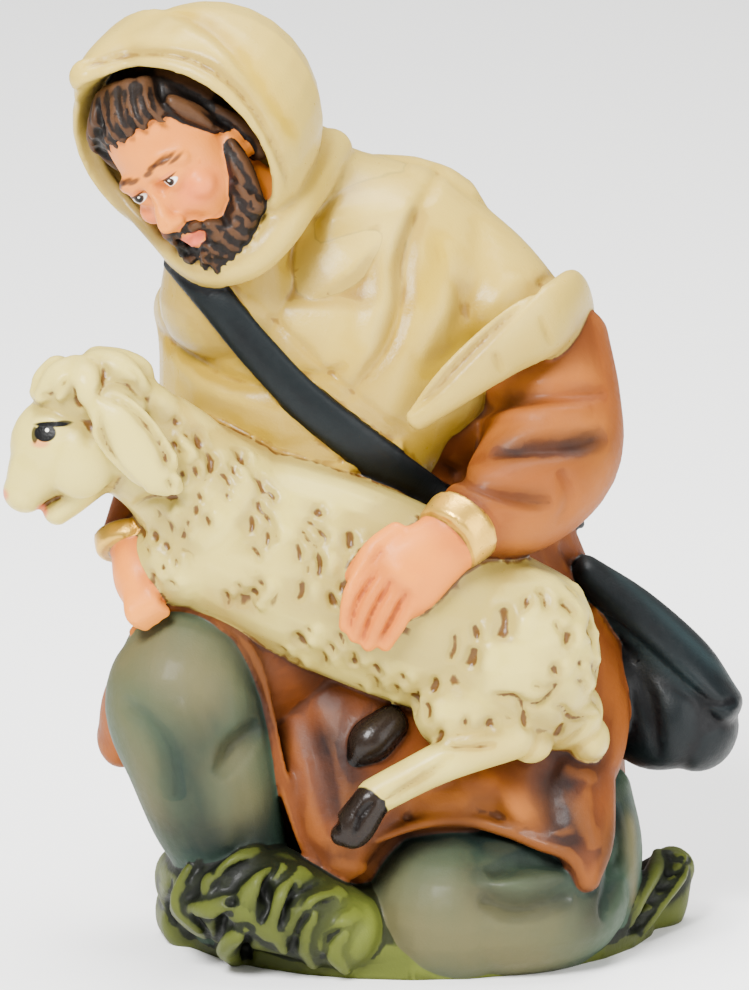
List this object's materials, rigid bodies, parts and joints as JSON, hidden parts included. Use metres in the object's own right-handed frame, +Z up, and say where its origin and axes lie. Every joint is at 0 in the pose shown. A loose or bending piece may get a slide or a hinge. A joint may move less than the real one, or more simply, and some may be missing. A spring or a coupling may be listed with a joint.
{
  "type": "nativity shepherd figurine",
  "caption": "Painted cast figurine of a kneeling bearded shepherd in a hooded cape, holding a lamb across his lap, with a satchel at his hip, on a flat-bottomed grassy base.",
  "frame": {"origin": "middle of the bounding box, on the plane the figurine stands on", "axes": "+Z up, -Y towards the side the shepherd and the lamb's flank face, +X towards the satchel"},
  "size_m": [0.0814, 0.0546, 0.1062],
  "materials": {
    "painted_resin": "satin hand-painted polyester resin"
  },
  "bodies": {
    "root": {"shepherd_figurine": "painted_resin"}
  },
  "joints": []
}
